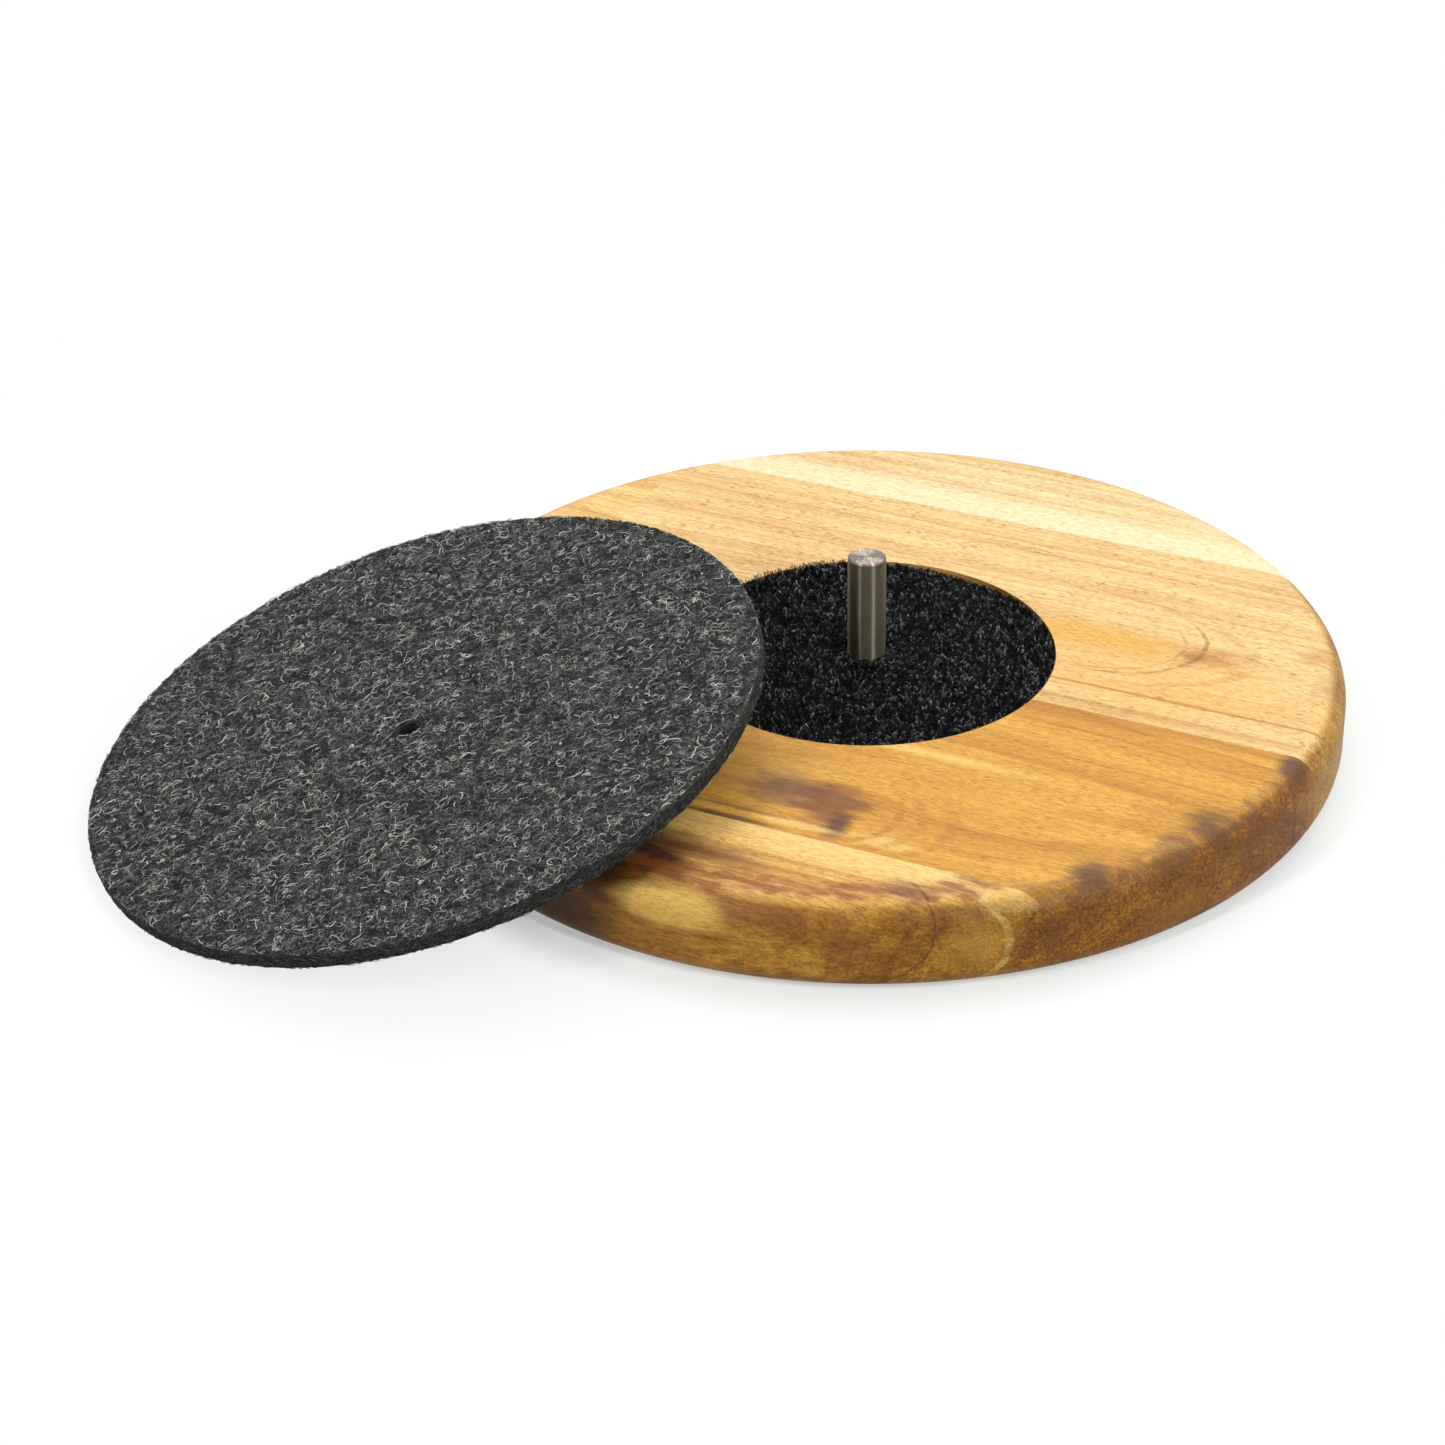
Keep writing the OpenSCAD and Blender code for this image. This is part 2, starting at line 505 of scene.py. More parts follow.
def finish_stave(node, timber, wood, stains=(), knot=None, marks=()):
    """Gives one stave its wood: its own rings, bent by a knot, then its stains and its marks."""
    material, graph, shader = new_material(node)
    place = millimetres(graph, timber.grain_angle)
    flow = place
    if knot:
        flow = use_group(graph, "Knot Flow", place=place, **knot)["Place"]
    grown = use_group(graph, "Timber", place=flow, facing=facing(graph, timber.grain_angle), **wood)
    shade = grown["Colour"]
    for centre, radii, tint, strength, softness, raggedness in stains:
        form = dict(centre=centre, radii=radii, softness=softness, raggedness=raggedness)
        shade = graph.lay(shade, use_group(graph, "Stain", place=place, **form)["Mask"], strength, tint)
    for centre, radii, side, tint, strength, width in marks:
        form = dict(centre=centre, radii=radii, side=side, width=width)
        mask = use_group(graph, "Growth Mark", place=place, **form)["Mask"]
        shade = graph.lay(shade, mask, strength, tint)
    mottle = graph.patches(place, (0.5, 3.2, 3.2), 0.34, 0.6, 3, 0.75)
    shade = graph.mix(1.0, shade, graph.mix(mottle, srgb(228, 208, 176), (1, 1, 1)), "MULTIPLY")
    graph.feed(shader.inputs["Base Color"], shade)
    graph.feed(shader.inputs["Roughness"], graph.maths("ADD", grown["Roughness"], timber.roughness))
    shader.inputs["Specular IOR Level"].default_value = 0.3
    graph.feed(shader.inputs["Normal"], graph.bump(grown["Height"], 0.35, 0.1 * MM))
    paint(node, material)


class WHEEL_OT_finish_staves(bpy.types.Operator):
    """Gives each stave of the wheel its own wood"""

    bl_idname = "wheel.finish_staves"
    bl_label = "Finish Staves"

    def execute(self, context):
        timber = context.scene.wheel_timber
        cream, honey, amber = tuple(timber.cream), tuple(timber.honey), tuple(timber.amber)
        line, russet, knot = tuple(timber.line), tuple(timber.russet), tuple(timber.knot)
        umber = tuple(timber.umber)

        finish_stave(
            "back_stave", timber,
            wood=dict(
                pale=srgb(255, 230, 178), dark=srgb(216, 164, 96), pith=(0, -30, -40), ring_width=5.0,
                waviness=5.0, contrast=0.8, pores=0.5, end_grain=0.6,
            ),
            stains=[
                ((0, 68, 20), (260, 15, 17), cream, 0.9, 0.7, 0.35),
                ((75, 84, 20), (48, 14, 15), cream, 0.6, 0.8, 0.4),
            ],
        )

        finish_stave(
            "second_stave", timber,
            wood=dict(
                pale=honey, dark=srgb(206, 150, 78), pith=(-20, 25, 18.5), pith_rise=0.1, ring_width=4.6,
                waviness=5.0, contrast=0.7, pores=0.6, end_grain=0.75,
            ),
            stains=[
                ((60, 12, 9), (60, 24, 60), srgb(236, 178, 86), 0.5, 0.8, 0.4),
                ((40, 25, 18.5), (27, 6.5, 20), amber, 0.6, 0.6, 0.5),
                ((68, 26, 18.5), (10, 6, 6), line, 0.55, 0.9, 1.2),
                ((88, 35, 18.5), (7, 6, 6), line, 0.5, 0.9, 1.3),
                ((94, 25, 19), (7, 9, 5), russet, 0.35, 0.8, 0.5),
                ((64, 24, 18.5), (3.5, 5, 3), russet, 0.45, 0.95, 1.6),
                ((70, 5, 18), (70, 0.6, 20), line, 0.7, 0.5, 0.2),
                ((50, -2, 18), (90, 1.6, 20), line, 0.5, 0.8, 0.5),
            ],
            marks=[
                ((44, 27, 18.5), (21, 16, 18), (1, -0.35, 0), russet, 0.55, 0.035),
                ((42, 26, 18.5), (19, 14, 17), (1, -0.6, 0), russet, 0.3, 0.03),
                ((26, 25, 18.5), (50, 20, 20), (1, 0.2, 0), line, 0.35, 0.05),
            ],
        )

        finish_stave(
            "second_stave_end", timber,
            wood=dict(
                pale=srgb(255, 220, 150), dark=srgb(208, 150, 74), pith=(0, 10, -30), ring_width=5.5,
                waviness=6.0, contrast=0.75, pores=0.5, end_grain=0.6,
            ),
        )

        finish_stave(
            "knot_stave", timber,
            wood=dict(
                pale=amber, dark=line, pith=(-60, -42, -24), pith_rise=0.04, ring_width=4.2,
                waviness=7.0, contrast=0.75, pores=0.5, end_grain=0.85,
            ),
            knot=dict(centre=(16, -60, 18.5), reach=(24, 12, 30), push=0.75),
            stains=[
                ((20, -7, 18), (160, 3.5, 30), line, 0.55, 0.6, 0.3),
                ((18, -34, 18), (52, 2.6, 30), srgb(252, 208, 122), 0.7, 0.8, 0.5),
                ((-4, -54, 18), (20, 13, 20), russet, 0.35, 0.95, 0.6),
                ((9, -58, 18.5), (12, 8.5, 14), knot, 0.75, 0.8, 1.0),
                ((19, -60, 18.5), (10, 11.5, 14), srgb(118, 62, 34), 0.8, 0.7, 1.2),
                ((23, -67, 18.5), (4, 7, 10), srgb(84, 44, 34), 0.85, 0.8, 1.0),
                ((16, -69, 18.5), (11, 1.8, 10), srgb(252, 212, 136), 0.7, 0.7, 0.6),
                ((33, -68, 18.5), (10, 3.2, 10), srgb(252, 212, 136), 0.6, 0.8, 0.6),
                ((2, -71.8, 18.5), (17, 1.5, 8), srgb(88, 52, 30), 0.85, 0.7, 0.6),
                ((2, -68, 18.5), (15, 1.0, 8), knot, 0.6, 0.7, 0.6),
                ((73, -61.5, 17), (6, 6, 4.5), umber, 0.9, 0.7, 0.8),
                ((87, -36, 16), (7, 8, 5.5), umber, 0.95, 0.7, 0.8),
                ((84, -46, 16), (6, 9, 5), umber, 0.7, 0.8, 0.9),
                ((96, -9, 17), (4.5, 6, 6), umber, 0.95, 0.7, 0.8),
                ((98, -15, 9), (6, 1.4, 12), umber, 0.7, 0.8, 1.0),
                ((86, -50, 5), (12, 13, 7), srgb(150, 104, 46), 0.4, 0.9, 1.0),
                ((70, -72, 8), (5, 6, 14), srgb(104, 64, 28), 0.45, 0.9, 0.9),
            ],
            marks=[
                ((18, -61, 18.5), (15, 11, 20), (1, -0.4, 0), line, 0.6, 0.1),
                ((18, -61, 18.5), (20, 14, 20), (1, -0.5, 0), line, 0.5, 0.08),
                ((17, -60, 18.5), (27, 18, 20), (1, -0.6, 0), line, 0.4, 0.07),
                ((0, 0, 17), (97, 97, 60), (0.85, -0.5, 0), srgb(112, 76, 42), 0.55, 0.04),
                ((92, -38, 4), (30, 20, 14), (0, 1, 0.2), knot, 0.5, 0.06),
                ((90, -46, 2), (30, 12, 10), (0, 0.4, 1), russet, 0.5, 0.08),
            ],
        )

        finish_stave(
            "front_stave", timber,
            wood=dict(
                pale=srgb(250, 204, 116), dark=srgb(170, 106, 38), pith=(0, -68, 6), ring_width=5.0,
                waviness=4.0, contrast=0.85, pores=0.5, end_grain=0.95,
            ),
            stains=[
                ((32, -74, 18.5), (46, 8, 6), srgb(254, 216, 144), 0.8, 0.7, 0.4),
                ((14, -98, 16), (38, 8, 4.5), russet, 0.6, 0.9, 0.8),
                # Painted shadow: these two near-black stains under the edge of the felt are partly reddish
                # heartwood and partly the felt's shadow painted in.
                ((-11, -91, 17), (24, 15, 10), srgb(58, 28, 4), 1.0, 0.65, 0.6),
                ((-24, -100, 6), (24, 16, 12), srgb(66, 34, 8), 0.85, 0.8, 0.6),
                ((6, -85, 18.5), (17, 6, 6), russet, 0.7, 0.95, 0.8),
                ((36, -92, 11), (7, 7, 9), russet, 0.6, 0.95, 0.9),
                ((44, -82, 18.3), (7, 4, 3), knot, 0.7, 0.9, 1.1),
                ((58, -79, 10), (10, 10, 8), srgb(206, 156, 70), 0.5, 0.8, 0.6),
                ((3.2, -99, 14), (15, 6, 5.2), srgb(240, 196, 104), 0.85, 0.5, 0.45),
            ],
            marks=[
                ((0, 0, 16), (93, 93, 50), (0.2, -1, 0), srgb(140, 74, 30), 0.8, 0.05),
                ((37, -92, 14), (16, 16, 12.5), (1, 0, -0.1), srgb(92, 50, 24), 0.8, 0.025),
                ((43, -90, 10), (24, 24, 14), (1, 0, -0.1), srgb(232, 202, 124), 0.5, 0.045),
            ],
        )
        return {"FINISHED"}


# ---- Spindle ----


class WHEEL_OT_finish_spindle(bpy.types.Operator):
    """Gives the spindle its drawn steel and the pad's film its clear plastic"""

    bl_idname = "wheel.finish_spindle"
    bl_label = "Finish Spindle"

    def execute(self, context):
        steel = context.scene.wheel_steel
        material, graph, shader = new_material("drawn_steel")
        place = millimetres(graph)
        rings = graph.noise(graph.stretched(place, (0.3, 0.3, 7.0)), 1.0, 3, 0.7)
        grit = graph.noise(place, 5.5, 2, 0.6)
        grime = graph.patches(place, (0.5, 0.5, 0.12), 0.4, 0.75, 3)
        # The steel colour holds painted shade: darker than bare steel, for the dark surroundings that it
        # reflects.
        shade = graph.lay(tuple(steel.shaded_steel), grime, 0.5, srgb(96, 90, 74))
        shade = graph.mix(graph.ramp(grit, 0.45, 0.7, 0.0, 0.65), shade, srgb(64, 58, 48))
        up = graph.ramp(graph.part(facing(graph), "Z"), 0.5, 0.9)
        sawn = graph.ramp(graph.noise(place, 3.0, 3, 0.7), 0.35, 0.65)
        cut = graph.mix(sawn, srgb(104, 94, 84), srgb(176, 164, 152))
        shade = graph.mix(up, shade, cut)
        graph.feed(shader.inputs["Base Color"], shade)
        shader.inputs["Metallic"].default_value = 1.0
        shader.inputs["Anisotropic"].default_value = 1.0
        shader.inputs["Anisotropic Rotation"].default_value = 0.25
        graph.feed(shader.inputs["Roughness"], graph.maths("MULTIPLY_ADD", grit, 0.1, steel.roughness - 0.05))
        height = graph.maths("MULTIPLY_ADD", grit, 0.5, rings)
        graph.feed(shader.inputs["Normal"], graph.bump(height, 0.35, 0.03 * MM))
        paint("spindle", material)

        film, graph, shader = new_material("adhesive_film")
        haze = graph.noise(millimetres(graph), 0.8, 2)
        graph.feed(shader.inputs["Base Color"], graph.mix(haze, srgb(196, 196, 190), srgb(222, 222, 216)))
        shader.inputs["Roughness"].default_value = 0.4
        paint("pad_adhesive", film)
        return {"FINISHED"}


# ---- Strands: loops of the pad and fibres of the felt ----

STRAND_SIDES = 3
STRAND_POINTS = 8


def polar(reach, around):
    """Flat points at a distance and an angle."""
    return np.stack([reach * np.cos(around), reach * np.sin(around)], axis=1)


def arches(draw, tallest, count, points=STRAND_POINTS):
    """The rise of each of the strands along its way, up to tallest millimetres."""
    tall = draw.uniform(0.02, tallest, count)[:, None]
    return np.sin(np.linspace(0, math.pi, points))[None] * tall * MM


def strand_mesh(name, paths, radii, shades):
    """One mesh of closed strands. paths is (strands, points, 3), radii (strands, points) in metres.

    Each strand is a three-sided tube that ends in a point at both ends. shades holds one value for
    each strand, kept on its vertices as the attribute named shade.
    """
    strands, points = paths.shape[:2]
    run = np.gradient(paths, axis=1)
    run /= np.linalg.norm(run, axis=2, keepdims=True) + 1e-12
    side = np.cross(run, (0.31, 0.17, 0.93))
    side /= np.linalg.norm(side, axis=2, keepdims=True) + 1e-12
    over = np.cross(run, side)
    inner = slice(1, points - 1)
    rings = points - 2
    corners = []
    for corner in range(STRAND_SIDES):
        angle = 2 * math.pi * corner / STRAND_SIDES
        spoke = math.cos(angle) * side[:, inner] + math.sin(angle) * over[:, inner]
        corners.append(paths[:, inner] + spoke * radii[:, inner, None])
    ring_points = np.stack(corners, axis=2).reshape(strands, rings * STRAND_SIDES, 3)
    vertices = np.concatenate([paths[:, :1], ring_points, paths[:, -1:]], axis=1)
    per_strand = vertices.shape[1]
    faces = []
    for corner in range(STRAND_SIDES):
        following = (corner + 1) % STRAND_SIDES
        faces.append((0, 1 + corner, 1 + following, 1 + following))
        for ring in range(rings - 1):
            low, high = 1 + ring * STRAND_SIDES, 1 + (ring + 1) * STRAND_SIDES
            faces.append((low + corner, high + corner, high + following, low + following))
        last = 1 + (rings - 1) * STRAND_SIDES
        faces.append((last + following, last + corner, per_strand - 1, per_strand - 1))
    faces = np.array(faces)
    starts = (np.arange(strands) * per_strand)[:, None, None]
    all_faces = (faces[None] + starts).reshape(-1, 4).tolist()
    mesh = bpy.data.meshes.new(name)
    mesh.from_pydata(
        vertices.reshape(-1, 3).tolist(), [], [f[:3] if f[2] == f[3] else f for f in all_faces]
    )
    mesh.attributes.new("shade", "FLOAT", "POINT").data.foreach_set("value", np.repeat(shades, per_strand))
    mesh.shade_smooth()
    strand = bpy.data.objects.new(name, mesh)
    bpy.context.scene.collection.objects.link(strand)
    return strand


def tapered(paths, radius, spread, draw):
    """Strand radii that shrink towards both ends, with spread from strand to strand."""
    strands, points = paths.shape[:2]
    profile = np.sin(np.linspace(0.12, math.pi - 0.12, points)) ** 0.4
    return radius * profile[None] * (1 + spread * (draw.random((strands, 1)) - 0.5))


def deselect_all():
    bpy.ops.object.select_all(action="DESELECT")


def activate(piece):
    """Selects one object alone."""
    deselect_all()
    piece.select_set(True)
    bpy.context.view_layer.objects.active = piece


def apply_modifiers(piece):
    """Applies all the modifiers of one object, in order."""
    activate(piece)
    for modifier in list(piece.modifiers):
        bpy.ops.object.modifier_apply(modifier=modifier.name)


def set_in_place(piece):
    """Puts the object's place into its mesh, so that the object sits at the origin."""
    activate(piece)
    bpy.ops.object.transform_apply(location=True, rotation=True, scale=True)


# ---- Loop pad ----

# Shares of the loops that crowd round the spindle and along the edge, and the power that keeps
# most loops dark
SPINDLE_CROWD = 0.03
EDGE_CROWD = 0.08
LOOP_CONTRAST = 7

# Gap between the pad and the spindle, depth of a loop's feet and unevenness of its thread
PAD_GAP = 0.8 * MM
FOOT_DEPTH = 0.15 * MM
UNEVENNESS = 0.07 * MM


def ring_sheet(name, outer, inner, inner_centre, thickness, cuts, sides):
    """A flat disc with a hole, of even rings of faces, thickened downwards from z = 0."""
    deselect_all()
    bpy.ops.mesh.primitive_circle_add(vertices=sides, radius=outer, location=(0, 0, 0))
    piece = bpy.context.object
    piece.name = piece.data.name = name
    bpy.ops.object.mode_set(mode="EDIT")
    bpy.ops.mesh.primitive_circle_add(vertices=sides, radius=inner, location=(*inner_centre, 0))
    bpy.ops.mesh.select_all(action="SELECT")
    bpy.ops.mesh.bridge_edge_loops(number_cuts=cuts, interpolation="LINEAR")
    bpy.ops.mesh.select_all(action="SELECT")
    bpy.ops.mesh.normals_make_consistent(inside=False)
    bpy.ops.object.mode_set(mode="OBJECT")
    if piece.data.polygons[0].normal.z < 0:
        piece.data.flip_normals()
    solid = piece.modifiers.new("Thickness", "SOLIDIFY")
    solid.thickness = thickness
    solid.offset = -1
    bevel = piece.modifiers.new("Edge", "BEVEL")
    bevel.width = min(0.25 * MM, thickness / 4)
    bevel.segments = 2
    bevel.angle_limit = math.radians(50)
    return piece


def pile_material(pad):
    """Black thread, brighter from loop to loop and in clumps."""
    material, graph, shader = new_material("loop_pile")
    shade = graph.node("Attribute", attribute_name="shade").outputs["Fac"]
    clumps = graph.ramp(graph.noise(millimetres(graph), 0.45, 3, 0.6), 0.35, 0.7)
    bright = graph.maths("MULTIPLY", shade, graph.maths("MULTIPLY_ADD", clumps, 0.6, 0.5))
    thread = graph.mix(bright, srgb(4, 4, 5), tuple(pad.pile))
    graph.feed(shader.inputs["Base Color"], thread)
    shader.inputs["Roughness"].default_value = 0.45
    shader.inputs["Specular IOR Level"].default_value = 0.06
    return material


def pad_ground_material():
    """Nearly black knitted cloth."""
    material, graph, shader = new_material("pad_ground")
    knit = graph.noise(millimetres(graph), 1.6, 3, 0.7)
    graph.feed(shader.inputs["Base Color"], graph.mix(knit, srgb(2, 2, 2), srgb(8, 8, 9)))
    shader.inputs["Specular IOR Level"].default_value = 0.1
    graph.feed(shader.inputs["Normal"], graph.bump(knit, 0.8, 0.3 * MM))
    shader.inputs["Roughness"].default_value = 0.8
    return material


class WHEEL_OT_lay_loop_pad(bpy.types.Operator):
    """Lays the ground cloth of the pad and its pile of loops in the recess"""

    bl_idname = "wheel.lay_loop_pad"
    bl_label = "Lay Loop Pad"

    def execute(self, context):
        pad = context.scene.wheel_pad
        draw = np.random.default_rng(pad.seed)
        low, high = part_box("loop_pad")
        outer = (high.x - low.x) / 2
        inner = mount("spindle")["dims"]["r_mm"] * MM + PAD_GAP
        base = high.z - pad.pile_height
        ground = ring_sheet("loop_pad_ground", outer, inner, (0, 0), base - low.z, cuts=12, sides=160)
        ground.location.z = base
        apply_modifiers(ground)
        set_in_place(ground)
        ground.data.shade_smooth()
        ground.data.materials.append(pad_ground_material())
        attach(ground, "wheel")
        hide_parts("loop_pad")

        material = pile_material(pad)
        for part in range(pad.parts):
            loops = self.loops(pad, draw, outer, inner, base)
            piece = strand_mesh(f"loop_pile_{part + 1}", *loops)
            piece.data.materials.append(material)
            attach(piece, "wheel")
        return {"FINISHED"}

    def loops(self, pad, draw, outer, inner, base):
        """Arched loops with a random turn and lean.

        They lean in round the spindle. At the edge they stand up to the wood, most at the back left,
        and dip at the back right, where the wall of the recess shows.
        """
        count = pad.loops
        spindle = mount("spindle")["dims"]["r_mm"] * MM
        radius = np.sqrt(draw.uniform(inner**2, outer**2, count))
        near = draw.random(count) < SPINDLE_CROWD
        radius[near] = draw.uniform(inner, inner + 1.5 * MM, near.sum())
        rim = draw.random(count) < EDGE_CROWD
        radius[rim] = draw.uniform(outer - 0.7 * MM, outer, rim.sum())
        around = draw.uniform(0, 2 * math.pi, count)
        outward = polar(1, around)
        foot = np.concatenate([outward * radius[:, None], np.full((count, 1), base)], axis=1)
        turn = draw.uniform(0, 2 * math.pi, count)
        lean = draw.normal(0, 0.45, (count, 2))
        lean[near] -= outward[near] * 0.8
        lean[rim] += outward[rim] * 0.45
        width = pad.loop_width * draw.uniform(0.5, 1.4, count)
        dip = np.exp(-(((around - math.radians(55)) / math.radians(24)) ** 2))
        proud = 0.5 + 0.4 * np.cos(around - math.radians(135)) - 1.1 * dip
        tall = pad.pile_height * (draw.uniform(0.7, 1.25, count) + proud * (radius / outer) ** 6)
        arc = np.linspace(0, math.pi, STRAND_POINTS)
        across = -np.cos(arc)[None] * width[:, None] / 2
        up = np.sin(arc)[None] ** 0.8 * tall[:, None] - FOOT_DEPTH
        paths = foot[:, None] + np.stack([
            across * np.cos(turn)[:, None] + up * lean[:, :1],
            across * np.sin(turn)[:, None] + up * lean[:, 1:],
            up,
        ], axis=2)
        paths += draw.normal(0, UNEVENNESS, paths.shape)
        reach = np.linalg.norm(paths[..., :2], axis=2, keepdims=True)
        over = np.maximum(paths[..., 2:] - base - pad.pile_height, 0)
        paths[..., :2] *= np.clip(reach, spindle + 0.12 * MM, outer + 0.2 * MM + over) / reach
        return paths, tapered(paths, pad.thread / 2, 0.6, draw), draw.random(count) ** LOOP_CONTRAST


# ---- Felt disc ----

# How far the nap stays inside the cut edge, how far it stays from the middle of the hole in
# radii of the hole, and the power that keeps most fibres dark
NAP_INSET = 0.12 * MM
HOLE_CLEARANCE = 1.12
NAP_CONTRAST = 3.2

# Width and height of the lumps in the faces of the felt
LUMP_WIDTH = 2.2 * MM
LUMP_HEIGHT = 0.35 * MM


def felt_placement(felt):
    """Takes the disc's own frame to the row frame: Z out of its top face, X downhill."""
    hole = mount("felt_hole")
    out = Vector(hole["axis"]).normalized()
    downhill = Vector((out.x, out.y, 0)).normalized()
    downhill = (downhill - out * downhill.dot(out)).normalized()
    sideways = out.cross(downhill)
    low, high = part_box("felt_disc")
    turned = Matrix((downhill, sideways, out)).transposed()
    # The box's middle is the disc's middle, halfway through its thickness.
    middle = (low + high) / 2
    top = middle + out * felt.thickness / 2
    place = turned.to_4x4()
    place.translation = top
    hole_place = place.inverted() @ Vector(hole["pos_m"])
    return place, (hole_place.x, hole_place.y), hole["dims"]["r_mm"] * MM


def felt_material(felt, hole_place):
    """Melange wool: dark and pale curly fibres in loose clumps, browner round the hole, with painted shade on
    the cut edge.
    """
    material, graph, shader = new_material("wool_felt")
    place = millimetres(graph)
    clumps = graph.ramp(graph.noise(place, 0.2, 3, 0.6), 0.34, 0.66)
    pale = 0.0
    for offset, scale, width, strength in (
        ((0, 0, 0), 1.1, 0.028, 1.0),
        ((31, 17, 5), 1.5, 0.034, 0.85),
        ((-23, 41, 9), 2.1, 0.044, 0.7),
    ):
        moved = graph.vectors("ADD", place, offset)
        curls = use_group(graph, "Curls", place=moved, scale=scale, width=width, curl=1.6)["Mask"]
        broken = graph.ramp(graph.noise(moved, scale * 0.6, 1), 0.42, 0.58)
        curls = graph.maths("MULTIPLY", graph.maths("MULTIPLY", curls, broken), strength)
        pale = graph.maths("MAXIMUM", pale, curls)
    # Painted shade: the pale fibres fade out where the felt faces sideways, so the cut edge shows dark as if
    # in shadow.
    level = graph.maths("ABSOLUTE", graph.part(facing(graph), "Z"))
    clumps = graph.maths("MULTIPLY", clumps, graph.ramp(level, 0.4, 0.85))
    pale = graph.maths("MULTIPLY", pale, graph.maths("MULTIPLY_ADD", clumps, 0.8, 0.2))
    depth = graph.noise(place, 1.3, 3, 0.7)
    tint = graph.mix(graph.ramp(graph.noise(place, 0.12, 2), 0.4, 0.6), srgb(36, 34, 28), srgb(40, 33, 33))
    ground = graph.mix(0.5, tint, tuple(felt.ground))
    ground = graph.mix(graph.ramp(depth, 0.35, 0.7), tuple(felt.cut), ground)
    near = graph.vectors("DISTANCE", place, tuple(along / MM for along in hole_place))
    halo = graph.ramp(near, 2.4, 6.0, 0.45, 0.0)
    fibre = graph.mix(halo, tuple(felt.pale), srgb(150, 138, 104))
    graph.feed(shader.inputs["Base Color"], graph.mix(graph.maths("MULTIPLY", pale, 0.6), ground, fibre))
    graph.feed(shader.inputs["Normal"], graph.bump(graph.maths("ADD", depth, pale), 0.7, 0.3 * MM))
    shader.inputs["Roughness"].default_value = 0.95
    shader.inputs["Specular IOR Level"].default_value = 0.15
    return material


def fibre_material(felt):
    """Wool from dark to pale, fibre by fibre."""
    material, graph, shader = new_material("wool_fibre")
    shade = graph.node("Attribute", attribute_name="shade").outputs["Fac"]
    graph.feed(shader.inputs["Base Color"], graph.mix(shade, tuple(felt.ground), tuple(felt.pale)))
    shader.inputs["Roughness"].default_value = 0.6
    shader.inputs["Specular IOR Level"].default_value = 0.2
    return material


def curled(draw, start, heading, span, curl):
    """Flat curly paths from start. curl is how far each bends, in radians for each step."""
    steps = STRAND_POINTS - 1
    bend = draw.normal(0, curl, (len(start), steps))
    bend[:, 0] = heading
    angle = np.cumsum(bend, axis=1)
    angle[:, 1:] += draw.normal(0, curl, (len(start), 1)) * np.arange(1, steps)
    step = (span / steps)[:, None]
    moves = np.stack([np.cos(angle) * step, np.sin(angle) * step], axis=2)
    walk = np.concatenate([np.zeros((len(start), 1, 2)), np.cumsum(moves, axis=1)], axis=1)
    return start[:, None] + walk


